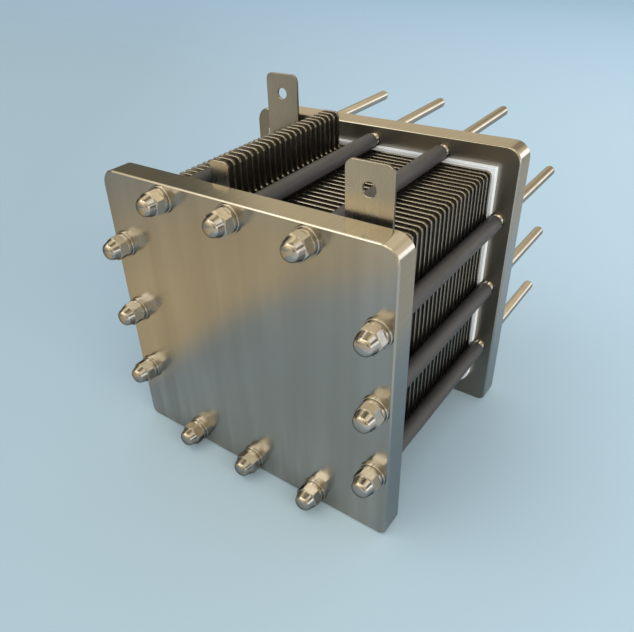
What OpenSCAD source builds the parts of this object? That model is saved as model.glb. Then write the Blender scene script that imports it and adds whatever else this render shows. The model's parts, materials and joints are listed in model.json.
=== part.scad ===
/* [Electrode plates] */
// Width of an electrode plate
electrode_w = 124; // [90:1:160]
// Height of an electrode plate without its tab
electrode_h = 118.5; // [90:0.5:150]
// Sheet thickness of the electrodes
electrode_t = 1.2; // [0.8:0.1:2]
// Radius of an electrode plate's top corners
electrode_corner_r = 2.5; // [1:0.5:6]
// Radius of an electrode plate's bottom corners
electrode_foot_r = 7; // [2:0.5:10]
// Number of cells, which is the number of gaps between electrodes
cells = 23; // [5:1:23]
// Radius of the fillets at the root of each tab
tab_root_r = 1.2; // [0.5:0.1:2]

/* [Terminal tabs] */
// Width of a terminal tab
terminal_tab_w = 19.5; // [14:0.5:26]
// Height of a terminal tab above its plate
terminal_tab_rise = 30.6; // [20:0.2:40]
// Radius of a terminal tab's top corners
terminal_tab_r = 3.5; // [1:0.5:6]
// Diameter of the cable lug's screw hole
lug_hole_d = 5.5; // [4.3:0.1:8]
// Distance from the lug hole's centre to the top of the tab
lug_hole_drop = 9.8; // [7:0.1:12]

/* [Comb tabs] */
// Width of the small tab on each bipolar plate
comb_tab_w = 10; // [6:0.5:16]
// How far the small tabs stand from the middle between the two rods beside them
comb_tab_shift = 2.3; // [0:0.1:4]
// Height of a small tab above its plate
comb_tab_rise = 17; // [8:0.5:24]
// Radius of a small tab's top corners
comb_tab_r = 2.5; // [1:0.5:4]

/* [Gaskets] */
// Thickness of a gasket when clamped
gasket_t = 2.65; // [1.5:0.05:3.2]
// Distance from the electrode's edge to the gasket's edge
gasket_inset = 3; // [1:0.5:8]
// Width of the gasket's rubber band
gasket_band = 9; // [6:0.5:12]
// Radius of the gasket window's corners
gasket_window_r = 6; // [2:0.5:10]

/* [Insulators] */
// Thickness of an insulator sheet
insulator_t = 3; // [2:0.5:5]
// How far an insulator reaches past the electrodes
insulator_margin = 1.5; // [0.5:0.25:3]
// Radius of an insulator's top corners
insulator_corner_r = 0.5; // [0.2:0.1:3]

/* [End plates] */
// Thickness of an end plate
end_plate_t = 12; // [8:0.5:16]
// Distance from the side rods to the end plate's side edge
side_margin = 7; // [6.5:0.25:12]
// Distance from the top rods to the end plate's top edge
top_margin = 6.75; // [6.5:0.25:12]
// Radius of the end plates' top corners
end_plate_corner_r = 7.5; // [3:0.5:12]
// Radius of the end plates' bottom corners
end_plate_foot_r = 3.5; // [2:0.5:12]
// Chamfer round both faces of an end plate
end_plate_chamfer = 0.6; // [0.3:0.1:1.5]
// Clearance round a rod in its hole in the front end plate
rod_hole_clearance = 0.3; // [0.2:0.05:0.6]
// Chamfer at both mouths of a rod's tapped hole in the rear end plate
tap_chamfer = 0.5; // [0.3:0.1:1]

/* [Tie rods] */
// Diameter of the rods' thread
thread_d = 6; // [5:0.5:7]
// How much thinner the plain tails are than the thread, in diameter
tail_step = 0.65; // [0.3:0.05:1]
// Gap between a terminal tab and the nearest sleeve
tab_rod_gap = 2.35; // [1:0.05:5]
// Distance between neighbouring rods at the sides
rod_pitch_z = 35.4; // [28:0.2:40]
// Length of a rod behind the rear end plate
tail_reach = 62.5; // [30:0.5:90]
// Chamfer at the ends of a rod
rod_chamfer = 0.8; // [0.3:0.1:1.2]

/* [Sleeves] */
// Wall of the insulating sleeve on a rod
sleeve_wall = 0.75; // [0.5:0.05:1.2]
// Gap between a sleeve and the edges of the sheets beside it
sleeve_gap = 0.25; // [0.1:0.05:0.6]
// Bare rod between a sleeve and the rear end plate
sleeve_end_gap = 3; // [0:0.2:5]

/* [Fasteners] */
// Width of a nut across its flats
nut_flats = 10; // [9:0.5:11]
// Height of a cap nut
cap_nut_h = 9; // [8:0.1:12]
// Height of a cap nut's hexagon
cap_nut_hex_h = 4; // [3:0.1:5]
// Step from a cap nut's flats in to its round body
cap_nut_step = 0.3; // [0.1:0.1:0.8]
// Diameter to which a cap nut's round body narrows at its rounded edge
cap_nut_nose_d = 8.2; // [7:0.1:9.4]
// Radius of the rounded edge between a cap nut's round body and its end
cap_nut_edge_r = 2.2; // [1:0.1:3]
// Radius of curvature of a cap nut's end
cap_nut_end_r = 7; // [6:0.5:15]
// Metal between a cap nut's blind thread and the top of its end
cap_nut_crown = 2; // [1.5:0.1:3]
// Space between a rod and the bottom of its cap nut's thread
cap_nut_end_gap = 0.8; // [0.3:0.1:1.5]
// Outer diameter of a flat washer
washer_d = 12.2; // [11:0.1:13]
// Thickness of a flat washer
washer_t = 1.2; // [0.8:0.1:1.8]
// Clearance of a washer on its rod, in diameter
washer_clearance = 0.4; // [0.2:0.1:0.8]
// Outer diameter of a spring washer
spring_washer_d = 11; // [10:0.1:11.8]
// Thickness of a spring washer
spring_washer_t = 1.6; // [1.2:0.1:2]
// Width of the slit in a spring washer
spring_slit = 0.8; // [0.4:0.1:1.5]
// Slant of the slit in a spring washer, in degrees
spring_slit_slant = 20; // [0:5:30]

/* [Ports] */
// Diameter of the tapped port holes in the rear end plate
port_d = 11.8; // [8:0.1:13]
// Chamfer at the mouth of a port
port_chamfer = 1; // [0.5:0.1:1.5]
// Distance from the gasket window's edge to the middle of a flow hole
flow_hole_inset = 11; // [9:0.5:16]
// Diameter of the flow holes through the electrodes
flow_hole_d = 8; // [5:0.5:10]

/* [Hidden] */
$fn = 48;
bore_overrun = 1;

// Places across the stack, from its centre line
half_w = electrode_w / 2;
half_h = electrode_h / 2;
thread_r = thread_d / 2;
tail_r = thread_r - tail_step / 2;
sleeve_r = thread_r + sleeve_wall;
side_rod_x = half_w + sleeve_gap + sleeve_r;
top_rod_z = half_h + sleeve_gap + sleeve_r;
rod_pitch_x = half_w - terminal_tab_w - tab_rod_gap - sleeve_r;
end_plate_w = 2 * (side_rod_x + side_margin);
end_plate_h = 2 * (top_rod_z + top_margin);
window_half_h = half_h - gasket_inset - gasket_band;
flow_hole_z = window_half_h - flow_hole_inset;
terminal_tab_x = half_w - terminal_tab_w / 2;
comb_tab_x = -rod_pitch_x / 2 - comb_tab_shift;
top_row = [for (i = [-1:1]) [i * rod_pitch_x, top_rod_z]];
side_row = [for (i = [-1:1]) [side_rod_x, i * rod_pitch_z]];
rod_places = concat(top_row, -top_row, side_row, -side_row);
// How far round the nuts of each rod came to rest, in degrees
nut_turns = [23, 31, 48, 48, 30, 10, 52, 55, 59, 38, 45, 29];

// Places along the stack, from the front face of the front end plate
cell_pitch = electrode_t + gasket_t;
front_insulator_y = end_plate_t;
first_electrode_y = front_insulator_y + insulator_t;
last_electrode_y = first_electrode_y + cells * cell_pitch;
rear_insulator_y = last_electrode_y + electrode_t;
rear_end_plate_y = rear_insulator_y + insulator_t;
rear_face_y = rear_end_plate_y + end_plate_t;
tail_end_y = rear_face_y + tail_reach;
spring_washer_y = -washer_t - spring_washer_t;
cap_nut_y = spring_washer_y;
cap_nut_tip_y = cap_nut_y - cap_nut_h;
cap_nut_bore_depth = cap_nut_h - cap_nut_crown;
rod_start_y = cap_nut_y - cap_nut_bore_depth + cap_nut_end_gap;
middle_y = (cap_nut_tip_y + tail_end_y) / 2;

// Names of the repeated pieces
function numbered(stem, k) = str(stem, k < 10 ? "0" : "", k);
bipolar_names = [for (k = [1:cells - 1]) numbered("bipolar_plate_", k)];
gasket_names = [for (k = [1:cells]) numbered("gasket_", k)];

// The origin is on the floor, below the middle of the whole length
module in_frame() {
    translate([0, -middle_y, end_plate_h / 2]) children();
}

// Thickens an outline drawn in width and height, from y to y + t
module slab(y, t) {
    translate([0, y + t, 0]) rotate([90, 0, 0]) linear_extrude(t) children();
}

// Turns a shape that stands on +Z so that it points backwards from y
module along_y(place, y) {
    translate([place[0], y, place[1]]) rotate([-90, 0, 0]) children();
}

// The same shape on every rod
module on_each_rod(y) {
    for (place = rod_places) along_y(place, y) children();
}

// A rectangle with one radius for its top corners and one for its bottom corners
module rounded_rectangle(w, h, top_r, foot_r) {
    translate([-w / 2, foot_r - h / 2]) square([w, h - foot_r - top_r]);
    translate([top_r - w / 2, 0]) square([w - 2 * top_r, h / 2]);
    translate([foot_r - w / 2, -h / 2]) square([w - 2 * foot_r, h / 2]);
    for (s = [-1, 1]) {
        translate([s * (w / 2 - top_r), h / 2 - top_r]) circle(top_r);
        translate([s * (w / 2 - foot_r), foot_r - h / 2]) circle(foot_r);
    }
}

// The concave corner between a tab's side and the plate's top edge
module root_fillet(side) {
    mirror([side < 0 ? 1 : 0, 0]) difference() {
        square(tab_root_r);
        translate([tab_root_r, tab_root_r]) circle(tab_root_r);
    }
}

// A tab on the plate's top edge, with a fillet on each side named in fillets
module tab_outline(x, w, rise, r, fillets) {
    translate([x, half_h]) {
        translate([-w / 2, -electrode_corner_r]) square([w, electrode_corner_r + rise - r]);
        translate([-w / 2 + r, 0]) square([w - 2 * r, rise]);
        for (s = [-1, 1]) translate([s * (w / 2 - r), rise - r]) circle(r);
        for (s = fillets) translate([s * w / 2, 0]) root_fillet(s);
    }
}

module flow_holes(d) {
    for (s = [-1, 1]) translate([0, s * flow_hole_z]) circle(d = d);
}

// A slab with rounded corners and a chamfer round both faces
module chamfered_slab(w, h, t, top_r, foot_r, c) {
    // Half of the section across the thickness, out to the given reach
    function half_section(reach) = [
        [0, 0], [reach - c, 0], [reach, c], [reach, t - c], [reach - c, t], [0, t]
    ];
    translate([0, 0, foot_r - h / 2]) linear_extrude(h - foot_r - top_r) {
        polygon(half_section(w / 2));
        mirror([1, 0]) polygon(half_section(w / 2));
    }
    for (end = [[1, top_r], [-1, foot_r]]) {
        r = end[1];
        run_x = w - 2 * r;
        mirror([0, 0, end[0] < 0 ? 1 : 0]) {
            translate([-run_x / 2, 0, 0]) rotate([90, 0, 90]) linear_extrude(run_x) {
                polygon([for (p = half_section(h / 2)) [p[1], p[0]]]);
            }
            for (s = [-1, 1]) along_y([s * run_x / 2, h / 2 - r], 0) rotate_extrude() {
                polygon(half_section(r));
            }
        }
    }
}

module end_plate(y, rod_hole_r) {
    difference() {
        translate([0, y, 0]) {
            chamfered_slab(
                end_plate_w, end_plate_h, end_plate_t,
                end_plate_corner_r, end_plate_foot_r, end_plate_chamfer
            );
        }
        on_each_rod(y - bore_overrun) {
            cylinder(h = end_plate_t + 2 * bore_overrun, r = rod_hole_r);
        }
    }
}

module front_end_plate() {
    color("silver") end_plate(0, thread_r + rod_hole_clearance);
}

// The rods screw into the rear end plate, which also has a port for gas and one for electrolyte
module rear_end_plate() {
    port_r = port_d / 2;
    tap_mouth_r = thread_r + tap_chamfer;
    color("silver") difference() {
        end_plate(rear_end_plate_y, thread_r);
        on_each_rod(rear_end_plate_y) {
            cylinder(h = tap_chamfer, r1 = tap_mouth_r, r2 = thread_r);
            translate([0, 0, end_plate_t - tap_chamfer]) {
                cylinder(h = tap_chamfer, r1 = thread_r, r2 = tap_mouth_r);
            }
        }
        for (s = [-1, 1]) along_y([0, s * flow_hole_z], rear_end_plate_y) {
            translate([0, 0, -bore_overrun]) {
                cylinder(h = end_plate_t + 2 * bore_overrun, r = port_r);
            }
            translate([0, 0, end_plate_t - port_chamfer]) {
                cylinder(h = port_chamfer, r1 = port_r, r2 = port_r + port_chamfer);
            }
        }
    }
}

// A sheet with a round notch wherever a sleeved rod passes its edge
module insulator(y, ported) {
    outer = [electrode_w, electrode_h] + 2 * insulator_margin * [1, 1];
    foot_r = electrode_foot_r + insulator_margin;
    color("white") slab(y, insulator_t) difference() {
        rounded_rectangle(outer[0], outer[1], insulator_corner_r, foot_r);
        for (place = rod_places) translate(place) circle(sleeve_r + sleeve_gap);
        if (ported) flow_holes(flow_hole_d);
    }
}

module electrode_outline() {
    rounded_rectangle(electrode_w, electrode_h, electrode_corner_r, electrode_foot_r);
}

// The tab's outer side is flush with the plate's side; side is 1 for right
module terminal_outline(side) {
    mirror([side < 0 ? 1 : 0, 0]) difference() {
        union() {
            electrode_outline();
            tab_outline(terminal_tab_x, terminal_tab_w, terminal_tab_rise, terminal_tab_r, [-1]);
            translate([half_w - electrode_corner_r, half_h - electrode_corner_r]) {
                square(electrode_corner_r);
            }
        }
        translate([terminal_tab_x, half_h + terminal_tab_rise - lug_hole_drop]) {
            circle(d = lug_hole_d);
        }
    }
}

module front_terminal_plate() {
    color("lightgray") slab(first_electrode_y, electrode_t) terminal_outline(1);
}

module rear_terminal_plate() {
    color("lightgray") slab(last_electrode_y, electrode_t) difference() {
        terminal_outline(-1);
        flow_holes(flow_hole_d);
    }
}

// Bipolar plate number k, counted from the front
module bipolar_plate(k) {
    color("gainsboro") slab(first_electrode_y + k * cell_pitch, electrode_t) difference() {
        union() {
            electrode_outline();
            tab_outline(comb_tab_x, comb_tab_w, comb_tab_rise, comb_tab_r, [-1, 1]);
        }
        flow_holes(flow_hole_d);
    }
}

// The rubber frame in front of electrode number k
module gasket(k) {
    y = first_electrode_y + k * cell_pitch - gasket_t;
    outer = [electrode_w, electrode_h] - 2 * gasket_inset * [1, 1];
    window = outer - 2 * gasket_band * [1, 1];
    foot_r = max(electrode_foot_r - gasket_inset, electrode_corner_r);
    color("dimgray") slab(y, gasket_t) difference() {
        rounded_rectangle(outer[0], outer[1], electrode_corner_r, foot_r);
        rounded_rectangle(window[0], window[1], gasket_window_r, gasket_window_r);
    }
}

// Threaded as far as the back of the rear end plate, then a plain tail
module tie_rods() {
    rod_length = tail_end_y - rod_start_y;
    plain_start = rear_face_y - rod_start_y;
    step = thread_r - tail_r;
    color("silver") on_each_rod(rod_start_y) rotate_extrude() polygon([
        [0, 0],
        [thread_r - rod_chamfer, 0],
        [thread_r, rod_chamfer],
        [thread_r, plain_start - step],
        [tail_r, plain_start],
        [tail_r, rod_length - rod_chamfer],
        [tail_r - rod_chamfer, rod_length],
        [0, rod_length]
    ]);
}

// Tight tubes that keep the electrodes off the rods
module rod_sleeves() {
    length = rear_end_plate_y - end_plate_t - sleeve_end_gap;
    color("black") on_each_rod(end_plate_t) difference() {
        cylinder(h = length, r = sleeve_r);
        translate([0, 0, -bore_overrun]) cylinder(h = length + 2 * bore_overrun, r = thread_r);
    }
}

module flat_washers() {
    color("silver") on_each_rod(-washer_t) difference() {
        cylinder(h = washer_t, d = washer_d);
        translate([0, 0, -bore_overrun]) {
            cylinder(h = washer_t + 2 * bore_overrun, d = thread_d + washer_clearance);
        }
    }
}

// A split ring, with its slit towards the bottom
module spring_washers() {
    color("silver") on_each_rod(spring_washer_y) difference() {
        cylinder(h = spring_washer_t, d = spring_washer_d);
        translate([0, 0, -bore_overrun]) {
            cylinder(h = spring_washer_t + 2 * bore_overrun, d = thread_d + washer_clearance);
        }
        translate([0, spring_washer_d / 2, spring_washer_t / 2]) rotate([0, spring_slit_slant, 0]) {
            cube([spring_slit, spring_washer_d, 3 * spring_washer_t], center = true);
        }
    }
}

// A hexagon standing on +Z, with the corners of its top turned off
module nut_hexagon(h) {
    corner_r = nut_flats / 2 / cos(30);
    turned = (corner_r - nut_flats / 2) * tan(30);
    intersection() {
        cylinder(h = h, r = corner_r, $fn = 6);
        rotate_extrude() {
            polygon([[0, 0], [corner_r, 0], [corner_r, h - turned], [nut_flats / 2, h], [0, h]]);
        }
    }
}

// A round body that narrows from start_z on, to a rounded edge and a shallow dome
module domed_body(r, start_z, nose_r, h, edge_r, end_r) {
    edge_x = nose_r - edge_r;
    edge_z = h - end_r + sqrt(pow(end_r - edge_r, 2) - pow(edge_x, 2));
    meeting_x = edge_x * end_r / (end_r - edge_r);
    // The slant at which the narrowing side touches the rounded edge without a crease
    reach = [r - edge_x, edge_z - start_z];
    slant = acos(edge_r / norm(reach)) - atan2(reach[1], reach[0]);
    side_end_r = edge_x + edge_r * cos(slant);
    side_end_z = edge_z + edge_r * sin(slant);
    cylinder(h = start_z, r = r);
    translate([0, 0, start_z]) cylinder(h = side_end_z - start_z, r1 = r, r2 = side_end_r);
    translate([0, 0, edge_z]) rotate_extrude() translate([edge_x, 0]) intersection() {
        circle(edge_r);
        square(edge_r);
    }
    intersection() {
        translate([0, 0, h - end_r]) sphere(end_r);
        cylinder(h = h, r = meeting_x);
    }
}

// A blind nut that stands on its hexagon
module cap_nut() {
    body_r = nut_flats / 2 - cap_nut_step;
    difference() {
        union() {
            nut_hexagon(cap_nut_hex_h);
            domed_body(
                body_r, cap_nut_hex_h, cap_nut_nose_d / 2,
                cap_nut_h, cap_nut_edge_r, cap_nut_end_r
            );
        }
        translate([0, 0, -bore_overrun]) {
            cylinder(h = cap_nut_bore_depth + bore_overrun, r = thread_r);
        }
    }
}

module cap_nuts() {
    color("silver") for (i = [0:len(rod_places) - 1]) {
        along_y(rod_places[i], cap_nut_y) rotate([180, 0, 0]) rotate(nut_turns[i]) cap_nut();
    }
}

in_frame() front_end_plate();
in_frame() rear_end_plate();
in_frame() insulator(front_insulator_y, false);  // front_insulator
in_frame() insulator(rear_insulator_y, true);  // rear_insulator
in_frame() front_terminal_plate();
in_frame() rear_terminal_plate();
for (k = [1:cells - 1]) {
    in_frame() bipolar_plate(k);
}
for (k = [1:cells]) {
    in_frame() gasket(k);
}
in_frame() tie_rods();
in_frame() rod_sleeves();
in_frame() flat_washers();
in_frame() spring_washers();
in_frame() cap_nuts();
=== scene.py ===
"""Looks of the electrolyzer stack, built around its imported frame."""
import json
import math
import bmesh
import bpy
from mathutils import Matrix, Vector


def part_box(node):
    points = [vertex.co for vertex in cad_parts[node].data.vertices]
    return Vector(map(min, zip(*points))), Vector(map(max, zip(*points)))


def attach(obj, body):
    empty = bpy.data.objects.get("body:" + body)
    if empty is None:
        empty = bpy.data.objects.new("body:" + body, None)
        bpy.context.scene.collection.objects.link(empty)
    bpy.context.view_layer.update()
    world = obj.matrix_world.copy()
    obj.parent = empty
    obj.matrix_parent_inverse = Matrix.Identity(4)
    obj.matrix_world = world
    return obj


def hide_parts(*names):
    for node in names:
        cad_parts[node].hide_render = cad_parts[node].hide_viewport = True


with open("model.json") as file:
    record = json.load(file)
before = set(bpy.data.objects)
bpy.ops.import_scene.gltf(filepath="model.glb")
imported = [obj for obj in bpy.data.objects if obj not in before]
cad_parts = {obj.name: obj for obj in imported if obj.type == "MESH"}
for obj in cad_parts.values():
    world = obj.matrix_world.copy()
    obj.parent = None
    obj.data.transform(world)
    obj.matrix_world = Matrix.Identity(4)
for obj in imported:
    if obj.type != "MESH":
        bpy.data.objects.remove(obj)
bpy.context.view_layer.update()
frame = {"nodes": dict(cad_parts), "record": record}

MM = 0.001
TAU = 2 * math.pi
COS_30 = math.cos(math.radians(30))
TAN_30 = math.tan(math.radians(30))

# The photograph's view, seen from the middle of the front plate's face
IMAGE_W, IMAGE_H = 634, 632
CAMERA_OFFSET = Vector((0.1541, -0.1594, 0.1619))
VIEW_AZIMUTH = math.radians(38.56)
VIEW_ELEVATION = math.radians(33.68)
VIEW_ROLL = math.radians(-3.22)
FOCAL_PIXELS = 629.4
PRINCIPAL_X, PRINCIPAL_Y = 289.9, 321.6
SENSOR_MM = 36.0
NEAREST_SEEN = 0.01

# Edges of the flat pieces: how wide they are eased, and from which angle on
END_PLATE_EDGE = 0.12 * MM
SHEET_EDGE = 0.16 * MM
INSULATOR_EDGE = 0.3 * MM
EASED_FROM = 50
END_PLATE_EASED_FROM = 35

# Sleeves and washers
SLEEVE_EDGE = 0.15 * MM
WASHER_EDGE = 0.3 * MM
SPRING_EDGE = 0.25 * MM
SPRING_SLIT = 0.8 * MM

# Cap nuts: hexagon corners, the step above them, the body's rounded edge and its dome
NUT_CORNER_R = 0.35 * MM
NUT_TOP_SHARE = 0.985      # radius of the hexagon's top, of the flats' half width
NUT_CORNER_SHARE = 0.95    # points past this share of the widest radius are a corner's
NUT_STEP = 0.3 * MM
NUT_NOSE_R = 4.1 * MM
NUT_EDGE_R = 2.2 * MM
NUT_END_R = 7.0 * MM
NUT_FILLET = 0.25 * MM

# Rods, with the M6 thread that is cut into them
ROD_LEAD = 0.8 * MM
ROD_TIP_R = 1.0 * MM
ROD_TIP_CLEAR = 0.5 * MM       # points nearer the end than this are the tip's
THREAD_PITCH = 1.0 * MM
THREAD_DEPTH = 0.5 * MM
THREAD_IN_SLEEVE = 3.0 * MM    # how far the thread goes on inside the sleeve

# Ports, with a G 1/4 thread
PORT_THREAD_PITCH = 1.337 * MM
PORT_THREAD_DEPTH = 0.5 * MM
PORT_THREAD_START = 0.3 * MM
PORT_THREAD_RECESS = 1.2 * MM    # from the thread's end to the plate's back
PORT_LINING = 0.1 * MM           # how far the lining goes behind the hole's wall

# Shape of a thread's groove over one pitch, and how finely round shapes are drawn
FLANK_SLOPE, FLANK_FLOOR = 1.25, 0.1
ROUND_STEPS = 72
THREAD_STEPS = 48
RINGS_PER_TURN = 6

# Distances in metres within which points are one, in CAD meshes and in built ones
CAD_WELD = 1e-6
BUILT_WELD = 1e-7
ON_FACE = 1e-5    # and within which a point lies on a face

# Depth of the fine grain of metal, rubber and plastic
METAL_GRAIN = 0.02 * MM
RUBBER_GRAIN = 0.03 * MM
PLASTIC_GRAIN = 0.04 * MM

# Edges of the pale board in the painted reflection that only steel sees, where it turns to beige,
# and how softly it shows them
BOARD_LEFT, BOARD_RIGHT, BOARD_SLANT = -0.100, 0.138, -0.2025
SIDE_BLUR, SLANT_BLUR = 0.012, 0.02
FLOOR_HALF = 4.0

# Light
LIT_POINT = (0, 0, 0.07)
WARM = (1.0, 0.95, 0.86)
SOFT_LIGHT = (0.70, 0.77, 0.85)
SEEN_BACKGROUND = (0.46, 0.60, 0.70)


# Finding places in the frame

def solids_of(node):
    """The separate solids of a CAD node, each as a list of its points."""
    bm = bmesh.new()
    bm.from_mesh(frame["nodes"][node].data)
    bmesh.ops.remove_doubles(bm, verts=bm.verts, dist=CAD_WELD)
    reached = set()
    solids = []
    for first in bm.verts:
        if first in reached:
            continue
        reached.add(first)
        front = [first]
        points = []
        while front:
            vert = front.pop()
            points.append(vert.co.copy())
            for edge in vert.link_edges:
                other = edge.other_vert(vert)
                if other not in reached:
                    reached.add(other)
                    front.append(other)
        solids.append(points)
    bm.free()
    return solids


def span(points, axis):
    values = [p[axis] for p in points]
    return min(values), max(values)


def off_axis(solid, point):
    """How far a point lies from a round solid's centre line."""
    return math.hypot(point.x - solid["x"], point.z - solid["z"])


def round_solids(node):
    """Centre line, ends along Y, points, and inner and outer radius of each round solid."""
    found = []
    for points in solids_of(node):
        (x0, x1), (y0, y1), (z0, z1) = (span(points, axis) for axis in range(3))
        solid = {"x": (x0 + x1) / 2, "z": (z0 + z1) / 2, "y0": y0, "y1": y1, "points": points}
        reach = [off_axis(solid, p) for p in points]
        solid["inner"], solid["outer"] = min(reach), max(reach)
        found.append(solid)
    return found


def towards_front(x, y, z):
    """Stands a shape built on +Z at a place on the front, so that it points to -Y."""
    return Matrix.Translation((x, y, z)) @ Matrix.Rotation(math.pi / 2, 4, "X")


def towards_back(x, y, z):
    """The same for a shape that points to +Y."""
    return Matrix.Translation((x, y, z)) @ Matrix.Rotation(-math.pi / 2, 4, "X")


# Building meshes

def polar(radius, angle, z):
    return radius * math.cos(angle), radius * math.sin(angle), z


def circle(radius, z, steps):
    return [polar(radius, TAU * i / steps, z) for i in range(steps)]


def arc(centre_x, centre_y, radius, start, end, steps):
    """Points on an arc, with the angles in degrees."""
    points = []
    for i in range(steps + 1):
        angle = math.radians(start + (end - start) * i / steps)
        points.append((centre_x + radius * math.cos(angle), centre_y + radius * math.sin(angle)))
    return points


def ringed(rings, caps=True):
    """A shape of rings of equally many points, each ring joined to the next with faces."""
    bm = bmesh.new()
    rows = [[bm.verts.new(point) for point in ring] for ring in rings]
    count = len(rows[0])
    for low, high in zip(rows, rows[1:]):
        for i in range(count):
            j = (i + 1) % count
            bm.faces.new((low[i], low[j], high[j], high[i]))
    if caps:
        bm.faces.new(list(reversed(rows[0])))
        bm.faces.new(rows[-1])
    bmesh.ops.remove_doubles(bm, verts=bm.verts, dist=BUILT_WELD)
    bmesh.ops.recalc_face_normals(bm, faces=bm.faces)
    return bm


def turned(outline):
    """A closed outline of (radius, height) points, turned round Z."""
    return ringed([circle(r, z, ROUND_STEPS) for r, z in outline + outline[:1]], caps=False)


def dress(name, mesh, material, slot, *nodes):
    """Makes a mesh a piece of the object, shaded smooth but for its sharp edges."""
    piece = bpy.data.objects.new(name, mesh)
    bpy.context.scene.collection.objects.link(piece)
    mesh.materials.clear()
    mesh.materials.append(material)
    mesh.shade_smooth()
    mesh.set_sharp_from_angle(angle=math.radians(30))
    weigh = piece.modifiers.new("even_flats", "WEIGHTED_NORMAL")
    weigh.keep_sharp = True
    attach(piece, "root")
    if nodes:
        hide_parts(*nodes)


def joined_piece(name, shapes, material, slot, *nodes):
    """One piece made of shapes, each with the matrix that places it."""
    joined = bmesh.new()
    for shape, matrix in shapes:
        part = bpy.data.meshes.new("part")
        shape.to_mesh(part)
        shape.free()
        part.transform(matrix)
        joined.from_mesh(part)
        bpy.data.meshes.remove(part)
    mesh = bpy.data.meshes.new(name)
    joined.to_mesh(mesh)
    joined.free()
    dress(name, mesh, material, slot, *nodes)


def softened(node, width, material, slot, segments=1, from_angle=EASED_FROM):
    """Stands in for a flat CAD piece with the same solid, its sharp edges eased."""
    bm = bmesh.new()
    bm.from_mesh(frame["nodes"][node].data)
    bmesh.ops.remove_doubles(bm, verts=bm.verts, dist=CAD_WELD)
    bmesh.ops.dissolve_limit(
        bm, angle_limit=math.radians(1), verts=bm.verts, edges=bm.edges, delimit={"NORMAL"}
    )
    sharp = [
        e for e in bm.edges
        if len(e.link_faces) == 2 and e.calc_face_angle() > math.radians(from_angle)
    ]
    bmesh.ops.bevel(bm, geom=sharp, offset=width, segments=segments, profile=0.5, affect="EDGES")
    mesh = bpy.data.meshes.new(node + "_eased")
    bm.to_mesh(mesh)
    bm.free()
    dress(node + "_eased", mesh, material, slot, node)


# Materials

class Nodes:
    """Short calls for the nodes of a material or of the world."""

    def __init__(self, tree):
        self.tree = tree
        self.coordinates = self.add("ShaderNodeTexCoord").outputs

    def add(self, kind, **settings):
        node = self.tree.nodes.new(kind)
        for key, value in settings.items():
            setattr(node, key, value)
        return node

    def link(self, output, socket):
        self.tree.links.new(output, socket)

    def maths(self, operation, *values):
        node = self.add("ShaderNodeMath", operation=operation)
        for value, socket in zip(values, node.inputs):
            self.link(value, socket)
        return node.outputs["Value"]

    def ranged(self, value, low, high, start=0.3, end=0.7, slope="LINEAR"):
        """Low where the value is at the start, high where it is at the end, and never past them."""
        node = self.add("ShaderNodeMapRange", interpolation_type=slope)
        node.inputs["From Min"].default_value = start
        node.inputs["From Max"].default_value = end
        node.inputs["To Min"].default_value = low
        node.inputs["To Max"].default_value = high
        self.link(value, node.inputs["Value"])
        return node.outputs["Result"]

    def mixed(self, factor, first, second):
        """Mixes two colours, each an output or a plain colour."""
        node = self.add("ShaderNodeMix", data_type="RGBA")
        self.link(factor, node.inputs["Factor"])
        sockets = [s for s in node.inputs if s.type == "RGBA"]
        for value, socket in zip((first, second), sockets):
            if isinstance(value, tuple):
                socket.default_value = (*value, 1)
            else:
                self.link(value, socket)
        return [s for s in node.outputs if s.type == "RGBA"][0]


class Shader(Nodes):
    """A new material, its nodes and its surface."""

    def __init__(self, name):
        self.material = bpy.data.materials.new(name)
        self.material.use_nodes = True
        super().__init__(self.material.node_tree)
        self.surface = self.tree.nodes["Principled BSDF"]

    def noise(self, scale, detail, offset=(0, 0, 0), lean=0):
        """Noise with its own scale in repeats per metre along X, Y and Z, leaning in XZ."""
        mapping = self.add("ShaderNodeMapping")
        mapping.inputs["Scale"].default_value = scale
        mapping.inputs["Location"].default_value = offset
        mapping.inputs["Rotation"].default_value = (0, math.radians(lean), 0)
        self.link(self.coordinates["Object"], mapping.inputs["Vector"])
        noise = self.add("ShaderNodeTexNoise")
        noise.inputs["Scale"].default_value = 1.0
        noise.inputs["Detail"].default_value = detail
        self.link(mapping.outputs["Vector"], noise.inputs["Vector"])
        return noise.outputs["Fac"]

    def along(self, direction, coordinate="Object"):
        """How far a place lies, or how much a face turns, in a direction."""
        node = self.add("ShaderNodeVectorMath", operation="DOT_PRODUCT")
        self.link(self.coordinates[coordinate], node.inputs[0])
        node.inputs[1].default_value = direction
        return node.outputs["Value"]

    def facing_y(self, start, end, on_rim, on_face):
        """One value on faces that run along the stack and another on those across it."""
        turn = self.maths("ABSOLUTE", self.along((0, 1, 0), "Normal"))
        return self.ranged(turn, on_rim, on_face, start, end)

    def on_faces(self, pattern):
        """A pattern that only the faces across the stack have."""
        return self.maths("MULTIPLY", pattern, self.facing_y(0.8, 0.95, on_rim=0.0, on_face=1.0))

    def bump(self, height, strength, distance):
        node = self.add("ShaderNodeBump")
        node.inputs["Strength"].default_value = strength
        node.inputs["Distance"].default_value = distance
        self.link(height, node.inputs["Height"])
        self.link(node.outputs["Normal"], self.surface.inputs["Normal"])

    def set(self, **values):
        """Sets or links the surface's sockets, with _ for a space in their names."""
        for key, value in values.items():
            socket = self.surface.inputs[key.replace("_", " ")]
            if isinstance(value, tuple):
                socket.default_value = (*value, 1)
            elif isinstance(value, float):
                socket.default_value = value
            else:
                self.link(value, socket)
        return self.material


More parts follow.
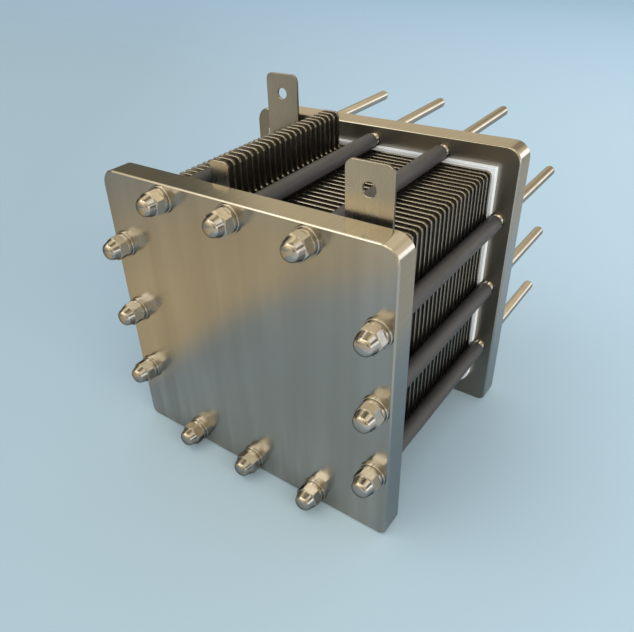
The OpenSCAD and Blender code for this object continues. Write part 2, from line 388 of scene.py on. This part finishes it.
def end_plate_steel():
    """Polished plate with upright brush lines, soft bands and slanting wipe marks low down."""
    s = Shader("end_plate_steel")
    lines = s.noise((1500, 1500, 14), detail=3)
    bands = s.noise((110, 110, 5), detail=2, offset=(3, 1, 0))
    clouds = s.noise((28, 28, 18), detail=3, offset=(1, 5, 2))
    wipes = s.noise((170, 170, 16), detail=3, offset=(7, 2, 5), lean=38)
    strokes = s.noise((1100, 9, 1100), detail=3, offset=(2, 4, 6))
    low_down = s.ranged(s.along((0, 0, 1)), 1.0, 0.15, 0.02, 0.06)
    wiped = s.maths("MULTIPLY", s.ranged(wipes, 0.0, 0.45, 0.45, 0.7), low_down)
    tone = s.mixed(s.ranged(bands, 0.0, 1.0), (0.49, 0.475, 0.44), (0.57, 0.56, 0.53))
    tone = s.mixed(s.ranged(clouds, 0.0, 0.5), tone, (0.42, 0.41, 0.38))
    tone = s.mixed(wiped, tone, (0.72, 0.72, 0.70))

    # The sides, with strokes along the stack
    rim = s.facing_y(0.35, 0.6, on_rim=1.0, on_face=0.0)
    side = s.mixed(s.ranged(strokes, 0.0, 1.0), (0.49, 0.47, 0.44), (0.55, 0.53, 0.49))
    tone = s.mixed(rim, tone, side)
    roughness = s.mixed(rim, s.ranged(lines, 0.17, 0.26), s.ranged(strokes, 0.12, 0.17))

    # The rear plate's inner face, which looks into the stack: darker as painted shade, and duller
    at_rear = s.ranged(s.along((0, 1, 0)), 0.0, 1.0, 0.0, 0.01)
    to_front = s.ranged(s.along((0, 1, 0), "Normal"), 1.0, 0.0, -0.95, -0.8)
    inner = s.maths("MULTIPLY", at_rear, to_front)
    tone = s.mixed(inner, tone, (0.36, 0.34, 0.30))
    roughness = s.mixed(inner, roughness, (0.36, 0.36, 0.36))
    s.bump(s.on_faces(lines), 0.12, METAL_GRAIN)
    return s.set(Base_Color=tone, Metallic=1.0, Roughness=roughness)


def electrode_steel():
    """Bright sheet with a fine upright grain and dull brown cut edges."""
    s = Shader("electrode_steel")
    rim = s.facing_y(0.4, 0.75, on_rim=1.0, on_face=0.0)
    grain = s.noise((2600, 2600, 60), detail=3)
    clouds = s.noise((60, 60, 40), detail=2, offset=(4, 2, 1))
    tone = s.mixed(s.ranged(clouds, 0.0, 1.0), (0.47, 0.445, 0.40), (0.56, 0.535, 0.48))
    tone = s.mixed(rim, tone, (0.16, 0.15, 0.13))
    s.bump(s.on_faces(grain), 0.05, METAL_GRAIN)
    return s.set(Base_Color=tone, Metallic=1.0, Roughness=s.ranged(grain, 0.25, 0.32))


def rod_steel():
    """Drawn bright rod with faint lines along its length and a darker glancing tint."""
    s = Shader("rod_steel")
    lines = s.noise((1800, 20, 1800), detail=2)
    marks = s.noise((300, 120, 300), detail=3, offset=(2, 7, 1))
    tone = s.mixed(s.ranged(marks, 0.0, 0.5), (0.64, 0.615, 0.57), (0.52, 0.49, 0.44))
    s.bump(lines, 0.1, METAL_GRAIN)
    s.set(Specular_Tint=(0.6, 0.6, 0.6))
    return s.set(Base_Color=tone, Metallic=1.0, Roughness=s.ranged(marks, 0.14, 0.24))


def fastener_steel():
    """Polished nut and washer steel with slight wear marks and dark outlines."""
    s = Shader("fastener_steel")
    marks = s.noise((420, 420, 420), detail=4)
    fine = s.noise((2400, 2400, 2400), detail=2, offset=(1, 1, 4))
    tone = s.mixed(s.ranged(marks, 0.0, 0.6), (0.60, 0.58, 0.55), (0.48, 0.46, 0.42))
    s.bump(fine, 0.06, METAL_GRAIN)
    s.set(Specular_Tint=(0.12, 0.12, 0.13))
    return s.set(Base_Color=tone, Metallic=1.0, Roughness=s.ranged(marks, 0.13, 0.21))


def gasket_rubber():
    """Matt black sheet rubber."""
    s = Shader("gasket_rubber")
    grain = s.noise((1400, 1400, 1400), detail=3)
    tone = s.mixed(s.ranged(grain, 0.0, 1.0), (0.012, 0.012, 0.012), (0.022, 0.021, 0.020))
    s.bump(grain, 0.3, RUBBER_GRAIN)
    return s.set(Base_Color=tone, Roughness=s.ranged(grain, 0.62, 0.78))


def black_plastic():
    """Satin charcoal tubing with a soft grain, scuffs along its length and a few pale specks."""
    s = Shader("black_plastic")
    grain = s.noise((1600, 260, 1600), detail=4)
    scuffs = s.noise((240, 30, 240), detail=3, offset=(5, 2, 8))
    specks = s.noise((1900, 1500, 1900), detail=1, offset=(3, 9, 4))
    tone = s.mixed(s.ranged(scuffs, 0.0, 1.0), (0.043, 0.041, 0.042), (0.065, 0.062, 0.063))
    tone = s.mixed(s.ranged(specks, 0.0, 0.5, 0.72, 0.78), tone, (0.35, 0.34, 0.33))
    s.bump(grain, 0.25, PLASTIC_GRAIN)
    return s.set(Base_Color=tone, Roughness=s.ranged(grain, 0.42, 0.54))


def white_plastic():
    """Matt white sheet with faint mottling."""
    s = Shader("white_plastic")
    mottle = s.noise((300, 300, 300), detail=3)
    tone = s.mixed(s.ranged(mottle, 0.0, 1.0), (0.90, 0.90, 0.88), (0.94, 0.94, 0.92))
    s.bump(mottle, 0.1, PLASTIC_GRAIN)
    return s.set(Base_Color=tone, Roughness=s.ranged(mottle, 0.42, 0.52))


# Pieces

def hexagon_outline(flats, flat_steps=6, corner_steps=4):
    """(angle, radius) round a hexagon with a corner at angle 0 and rounded corners."""
    corner_centre = (flats / 2 - NUT_CORNER_R) / COS_30
    corner = arc(corner_centre, 0, NUT_CORNER_R, -30, 30, corner_steps)
    half_corner = math.atan2(corner[-1][1], corner[-1][0])
    outline = []
    for k in range(6):
        turn = k * math.radians(60)
        outline += [(turn + math.atan2(y, x), math.hypot(x, y)) for x, y in corner]
        for i in range(1, flat_steps):
            angle = half_corner + (math.radians(60) - 2 * half_corner) * i / flat_steps
            outline.append((turn + angle, flats / 2 / math.cos(angle - math.radians(30))))
    return outline


def hexagon_rings(outline, flats, high):
    """Rings of a hexagon up to high, where its corners are turned off at 30 degrees."""
    top_r = NUT_TOP_SHARE * flats / 2
    return [
        [polar(r, a, 0) for a, r in outline],
        [polar(r, a, high - (r - top_r) * TAN_30) for a, r in outline],
        [polar(top_r, a, high) for a, r in outline],
    ]


def cap_nut_shape(flats, height, hex_h):
    """A hexagon with a narrowing body on it, a rounded edge and a shallow dome."""
    body_r = flats / 2 - NUT_STEP
    edge_x = NUT_NOSE_R - NUT_EDGE_R
    edge_z = height - NUT_END_R + math.sqrt((NUT_END_R - NUT_EDGE_R) ** 2 - edge_x ** 2)
    reach_x, reach_z = body_r - edge_x, edge_z - hex_h
    slant = math.acos(NUT_EDGE_R / math.hypot(reach_x, reach_z)) - math.atan2(reach_z, reach_x)
    meeting = 90 - math.degrees(math.asin(edge_x / (NUT_END_R - NUT_EDGE_R)))
    profile = arc(body_r + NUT_FILLET, hex_h + NUT_FILLET, NUT_FILLET, 270, 180, steps=3)
    profile += arc(edge_x, edge_z, NUT_EDGE_R, math.degrees(slant), meeting, steps=10)
    profile += arc(0, height - NUT_END_R, NUT_END_R, meeting, 90, steps=8)[1:-1]
    outline = hexagon_outline(flats)
    rings = hexagon_rings(outline, flats, hex_h)
    rings += [[polar(radius, a, z) for a, r in outline] for radius, z in profile]
    return ringed(rings)


def cap_nuts(material):
    """Cap nuts, each turned as its CAD nut is."""
    shapes = []
    for nut in round_solids("cap_nuts"):
        flats = 2 * nut["outer"] * COS_30
        corner = max(nut["points"], key=lambda p: off_axis(nut, p))
        turn = math.atan2(corner.z - nut["z"], corner.x - nut["x"])
        near_corner = NUT_CORNER_SHARE * nut["outer"]
        hex_end = min(p.y for p in nut["points"] if off_axis(nut, p) > near_corner)
        hex_h = nut["y1"] - hex_end + (nut["outer"] - flats / 2) * TAN_30
        shape = cap_nut_shape(flats, nut["y1"] - nut["y0"], hex_h)
        place = towards_front(nut["x"], nut["y1"], nut["z"]) @ Matrix.Rotation(turn, 4, "Z")
        shapes.append((shape, place))
    joined_piece("cap_nut_set", shapes, material, "fastener_steel", "cap_nuts")


def flat_washers(material):
    """Punched washers, rounder at the edge that looks to the front."""
    shapes = []
    for ring in round_solids("flat_washers"):
        inner, outer = ring["inner"], ring["outer"]
        thick = ring["y1"] - ring["y0"]
        outline = [(inner, 0), (outer - WASHER_EDGE / 3, 0), (outer, WASHER_EDGE / 3)]
        outline += arc(outer - WASHER_EDGE, thick - WASHER_EDGE, WASHER_EDGE, 0, 90, steps=5)
        outline.append((inner, thick))
        shapes.append((turned(outline), towards_front(ring["x"], ring["y1"], ring["z"])))
    joined_piece("flat_washer_set", shapes, material, "fastener_steel", "flat_washers")


def spring_washers(material):
    """Split rings with eased edges, their slit at the bottom as in the CAD rings."""
    shapes = []
    for ring in round_solids("spring_washers"):
        x0, x1 = span(ring["points"], 0)
        radius = (x1 - x0) / 2
        ring["z"] = span(ring["points"], 2)[1] - radius
        inner = min(off_axis(ring, p) for p in ring["points"])
        thick = ring["y1"] - ring["y0"]
        section = []
        for r, z, start in (
            (radius - SPRING_EDGE, thick - SPRING_EDGE, 0),
            (inner + SPRING_EDGE, thick - SPRING_EDGE, 90),
            (inner + SPRING_EDGE, SPRING_EDGE, 180),
            (radius - SPRING_EDGE, SPRING_EDGE, 270),
        ):
            section += arc(r, z, SPRING_EDGE, start, start + 90, steps=3)
        half_slit = SPRING_SLIT / 2 / radius
        rings = []
        for i in range(ROUND_STEPS + 1):
            angle = -math.pi / 2 + half_slit + (TAU - 2 * half_slit) * i / ROUND_STEPS
            rings.append([polar(r, angle, z) for r, z in section])
        shapes.append((ringed(rings), towards_front(ring["x"], ring["y1"], ring["z"])))
    joined_piece("spring_washer_set", shapes, material, "fastener_steel", "spring_washers")


def screw_rings(radius, depth, pitch, start, end):
    """Rings of a thread between two heights, cut in from the radius, that fades at both ends."""
    count = math.ceil((end - start) / pitch * RINGS_PER_TURN)
    rings = []
    for k in range(count + 1):
        z = start + (end - start) * k / count
        fade = min(1.0, (z - start) / pitch, (end - z) / pitch)
        ring = []
        for i in range(THREAD_STEPS):
            phase = ((z - start) / pitch - i / THREAD_STEPS) % 1.0
            flank = min(1.0, max(0.0, FLANK_SLOPE * abs(2 * phase - 1) - FLANK_FLOOR))
            ring.append(polar(radius - depth * (1 - flank) * fade, TAU * i / THREAD_STEPS, z))
        rings.append(ring)
    return rings


def tie_rods(material):
    """Rods whose cut thread shows between the sleeves and the rear plate's back."""
    shapes = []
    sleeve_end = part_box("rod_sleeves")[1].y
    plate_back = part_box("rear_end_plate")[1].y
    for rod in round_solids("tie_rods"):
        radius, length = rod["outer"], rod["y1"] - rod["y0"]
        tail = [p for p in rod["points"] if plate_back < p.y < rod["y1"] - ROD_TIP_CLEAR]
        tail_r = min(off_axis(rod, p) for p in tail)
        tail_start = plate_back - rod["y0"]
        thread_start = sleeve_end - rod["y0"] - THREAD_IN_SLEEVE
        thread_end = tail_start - (radius - tail_r)
        rings = [circle(radius - ROD_LEAD, 0, THREAD_STEPS), circle(radius, ROD_LEAD, THREAD_STEPS)]
        rings += screw_rings(radius, THREAD_DEPTH, THREAD_PITCH, thread_start, thread_end)
        rings.append(circle(tail_r, tail_start, THREAD_STEPS))
        tip = arc(tail_r - ROD_TIP_R, length - ROD_TIP_R, ROD_TIP_R, 0, 90, steps=6)
        rings += [circle(r, z, THREAD_STEPS) for r, z in tip]
        shapes.append((ringed(rings), towards_back(rod["x"], rod["y0"], rod["z"])))
    joined_piece("tie_rod_set", shapes, material, "rod_steel", "tie_rods")


def port_threads(material):
    """The cut thread in the two ports, as a lining of each hole."""
    low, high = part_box("rear_end_plate")
    thread_end = high.y - low.y - PORT_THREAD_RECESS
    inner_face = [p for p in solids_of("rear_end_plate")[0] if abs(p.y - low.y) < ON_FACE]
    shapes = []
    for port in frame["record"]["mounts"]:
        if port["kind"] != "threaded_hole":
            continue
        x, y, z = port["pos_m"]
        near = 2 * port["dims"]["r_mm"] * MM
        rim = [p for p in inner_face if abs(p.x - x) < near and abs(p.z - z) < near]
        bottom, top = span(rim, 2)
        radius = (top - bottom) / 2
        rings = screw_rings(
            radius, PORT_THREAD_DEPTH, PORT_THREAD_PITCH, PORT_THREAD_START, thread_end
        )
        mouth = rings[0]
        rings += [
            circle(radius + PORT_LINING, h, THREAD_STEPS) for h in (thread_end, PORT_THREAD_START)
        ]
        rings.append(mouth)
        place = towards_back(x, low.y, (bottom + top) / 2)
        shapes.append((ringed(rings, caps=False), place))
    joined_piece("port_threads", shapes, material, "end_plate_steel")


def rod_sleeves(material):
    """Cut tubes, their rear ends eased inside and out."""
    shapes = []
    for sleeve in round_solids("rod_sleeves"):
        inner, outer = sleeve["inner"], sleeve["outer"]
        length = sleeve["y1"] - sleeve["y0"]
        outline = [(inner, 0), (outer, 0)]
        outline += arc(outer - SLEEVE_EDGE, length - SLEEVE_EDGE, SLEEVE_EDGE, 0, 90, steps=4)
        outline += [(inner + SLEEVE_EDGE, length), (inner, length - SLEEVE_EDGE)]
        shapes.append((turned(outline), towards_back(sleeve["x"], sleeve["y0"], sleeve["z"])))
    joined_piece("rod_sleeve_set", shapes, material, "black_plastic", "rod_sleeves")


def sheets_and_plates():
    """Gives the flat pieces their finish and eases the edges of all but the gaskets."""
    plate = end_plate_steel()
    port_threads(plate)
    electrode = electrode_steel()
    rubber = gasket_rubber()
    white = white_plastic()
    for name in sorted(frame["nodes"]):
        if name.startswith("gasket"):
            gasket = frame["nodes"][name].data
            gasket.materials.clear()
            gasket.materials.append(rubber)
        elif name.endswith("end_plate"):
            softened(name, END_PLATE_EDGE, plate, "end_plate_steel", from_angle=END_PLATE_EASED_FROM)
        elif name.startswith("bipolar_plate") or name.endswith("terminal_plate"):
            softened(name, SHEET_EDGE, electrode, "electrode_steel")
        elif name.endswith("insulator"):
            softened(name, INSULATOR_EDGE, white, "white_plastic", segments=2)


# Surroundings

def photo_camera():
    """The photograph's camera, from its measured angles."""
    low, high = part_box("front_end_plate")
    centre = Vector(((low.x + high.x) / 2, low.y, (low.z + high.z) / 2))
    back = Vector((
        math.cos(VIEW_ELEVATION) * math.sin(VIEW_AZIMUTH),
        -math.cos(VIEW_ELEVATION) * math.cos(VIEW_AZIMUTH),
        math.sin(VIEW_ELEVATION),
    ))
    level = Vector((math.cos(VIEW_AZIMUTH), math.sin(VIEW_AZIMUTH), 0))
    upright = back.cross(level)
    right = math.cos(VIEW_ROLL) * level + math.sin(VIEW_ROLL) * upright
    up = -math.sin(VIEW_ROLL) * level + math.cos(VIEW_ROLL) * upright
    data = bpy.data.cameras.new("camera")
    data.sensor_width = SENSOR_MM
    data.lens = FOCAL_PIXELS / IMAGE_W * SENSOR_MM
    data.shift_x = (IMAGE_W / 2 - PRINCIPAL_X) / IMAGE_W
    data.shift_y = (PRINCIPAL_Y - IMAGE_H / 2) / IMAGE_W
    data.clip_start = NEAREST_SEEN
    camera = bpy.data.objects.new("camera", data)
    bpy.context.scene.collection.objects.link(camera)
    turn = Matrix((right, up, back)).transposed().to_4x4()
    camera.matrix_world = Matrix.Translation(centre + CAMERA_OFFSET) @ turn
    bpy.context.scene.camera = camera


def board_material():
    """A pale blue board, with painted light that makes it brighter towards the back and right. Steel
    sees a painted reflection of it instead: darker, with painted shade beside the stack and beige
    tones past its edges.
    """
    s = Shader("pale_blue_board")
    across = s.along((1, 0, 0))
    back = s.along((0, 1, 0))
    slant = s.along((0.82, 0.57, 0))
    to_back_right = s.along((0.78, 0.62, 0))
    to_front_right = s.along((0.8, -0.6, 0))
    beige = (0.585, 0.45, 0.265)

    def laid(tone, *layers):
        """The tone with others laid over it in turn, each from its start on, whole at its end."""
        for value, start, end, over in layers:
            tone = s.mixed(s.ranged(value, 0.0, 1.0, start, end), tone, over)
        return tone

    # Painted light: the board seen directly is painted brighter towards the back and right, and
    # toned down again far behind
    plain = laid(
        (0.415, 0.520, 0.560),
        (to_back_right, -0.28, 0.6, (0.620, 0.775, 0.855)),
        (back, 0.5, 1.5, (0.430, 0.585, 0.690)),
    )
    # Painted reflection, for glossy rays only: the board darker, with painted shade to the right of
    # the stack and by its left foot, brighter behind it, and beige, grey and warm tones past its
    # edges
    painted_reflection = laid(
        (0.335, 0.385, 0.395),
        (across, 0.06, 0.08, (0.28, 0.37, 0.42)),
        (back, 0.04, 0.13, (0.38, 0.46, 0.51)),
        (across, BOARD_RIGHT - SIDE_BLUR, BOARD_RIGHT + SIDE_BLUR, (0.46, 0.43, 0.35)),
        (to_front_right, 0.15, 0.22, (0.55, 0.56, 0.54)),
        (across, -0.05, -0.09, (0.28, 0.32, 0.33)),
        (across, BOARD_LEFT + SIDE_BLUR, BOARD_LEFT - SIDE_BLUR, beige),
        (slant, BOARD_SLANT + SLANT_BLUR, BOARD_SLANT - SLANT_BLUR, beige),
        (slant, -0.25, -0.33, (0.51, 0.395, 0.24)),
        (back, -0.31, -0.36, (0.56, 0.49, 0.36)),
        (across, -0.25, -0.36, (0.30, 0.29, 0.25)),
    )
    glossy = s.add("ShaderNodeLightPath").outputs["Is Glossy Ray"]
    tone = s.mixed(glossy, plain, painted_reflection)
    return s.set(Base_Color=tone, Roughness=0.85, Specular_IOR_Level=0.1)


def floor():
    """A wide level square of board under the stack."""
    bm = bmesh.new()
    corners = ((-1, -1), (1, -1), (1, 1), (-1, 1))
    bm.faces.new([bm.verts.new((x * FLOOR_HALF, y * FLOOR_HALF, 0)) for x, y in corners])
    mesh = bpy.data.meshes.new("floor")
    bm.to_mesh(mesh)
    bm.free()
    mesh.materials.append(board_material())
    board = bpy.data.objects.new("floor", mesh)
    bpy.context.scene.collection.objects.link(board)


def area_light(name, place, size, power):
    """A warm rectangular light that shines on the stack and that steel doesn't show."""
    data = bpy.data.lights.new(name, "AREA")
    data.shape = "RECTANGLE"
    data.size, data.size_y = size
    data.energy = power
    data.color = WARM
    lamp = bpy.data.objects.new(name, data)
    bpy.context.scene.collection.objects.link(lamp)
    lamp.location = place
    lamp.rotation_euler = (Vector(LIT_POINT) - Vector(place)).to_track_quat("-Z", "Y").to_euler()
    lamp.visible_glossy = False


def room():
    """Even pale light, with walls, windows and a dark patch for the steel to reflect."""
    world = bpy.data.worlds.new("room")
    bpy.context.scene.world = world
    world.use_nodes = True
    w = Nodes(world.node_tree)
    facing = w.add("ShaderNodeSeparateXYZ")
    w.link(w.coordinates["Generated"], facing.inputs[0])
    x, y, z = facing.outputs
    azimuth = w.maths("DEGREES", w.maths("ARCTAN2", x, y))
    elevation = w.maths("DEGREES", w.maths("ARCSINE", z))

    def rise(value, start, end):
        return w.ranged(value, 0.0, 1.0, start, end, slope="SMOOTHSTEP")

    def within(value, start, end, soft):
        """1 from the start to the end, with soft borders."""
        rising = rise(value, start - soft, start + soft)
        return w.maths("MULTIPLY", rising, rise(value, end + soft, end - soft))

    seen = w.mixed(rise(elevation, 36, 52), (0.68, 0.57, 0.37), (1.05, 0.86, 0.55))
    seen = w.mixed(rise(elevation, 66, 76), seen, (0.30, 0.24, 0.16))

    # Azimuth span, elevation span and softness in degrees, and colour; +Y is 0 and +X is 90
    for az_from, az_to, el_from, el_to, soft, colour in (
        (-120, -43.5, -10, 30, 4, (0.16, 0.145, 0.10)),
        (-24, 22, 31, 46, 3, (0.98, 0.83, 0.57)),
        (-40, -16, -8, 11, 3, (0.95, 0.79, 0.55)),
        (-6, 15, 17, 30, 3, (0.38, 0.30, 0.21)),
        (20, 44, 10, 31, 3, (0.95, 0.82, 0.58)),
        (20, 41, -2, 12, 2, (2.0, 1.95, 1.85)),
        (41, 54, -2, 12, 2, (1.1, 1.1, 1.08)),
        (54, 100, 16, 33, 3, (0.22, 0.19, 0.14)),
        (58, 92, 35, 56, 3, (1.15, 1.15, 1.1)),
        (70, 112, -3, 13, 3, (1.7, 1.7, 1.65)),
        (-178, -119, 12, 47, 5, (1.4, 1.15, 0.72)),
        (-150, -117, 37, 53, 3, (3.0, 2.8, 2.4)),
        (-160, -104, 58, 68, 4, (0.45, 0.37, 0.25)),
        (-182, -162, 48, 64, 3, (2.9, 2.6, 2.0)),
        (138, 182, 46, 60, 3, (1.8, 1.6, 1.2)),
        (141, 163, -2, 19, 8, (0.10, 0.09, 0.08)),
        (-48, -26, 42, 56, 4, (1.9, 1.65, 1.2)),
    ):
        sideways = within(azimuth, az_from, az_to, soft)
        upwards = within(elevation, el_from, el_to, soft)
        seen = w.mixed(w.maths("MULTIPLY", sideways, upwards), seen, colour)

    ray = w.add("ShaderNodeLightPath").outputs
    light = w.mixed(ray["Is Glossy Ray"], SOFT_LIGHT, seen)
    light = w.mixed(ray["Is Camera Ray"], light, SEEN_BACKGROUND)
    background = w.tree.nodes["Background"]
    w.link(light, background.inputs["Color"])
    background.inputs["Strength"].default_value = 1.0


bpy.context.scene.view_settings.view_transform = "Standard"
photo_camera()
floor()
area_light("window_right", (2.0, -0.9, 0.9), (2.0, 1.2), 34)
area_light("ceiling_front_left", (-1.2, -1.3, 2.2), (2.0, 2.0), 14)
room()
sheets_and_plates()
fasteners = fastener_steel()
cap_nuts(fasteners)
flat_washers(fasteners)
spring_washers(fasteners)
tie_rods(rod_steel())
rod_sleeves(black_plastic())
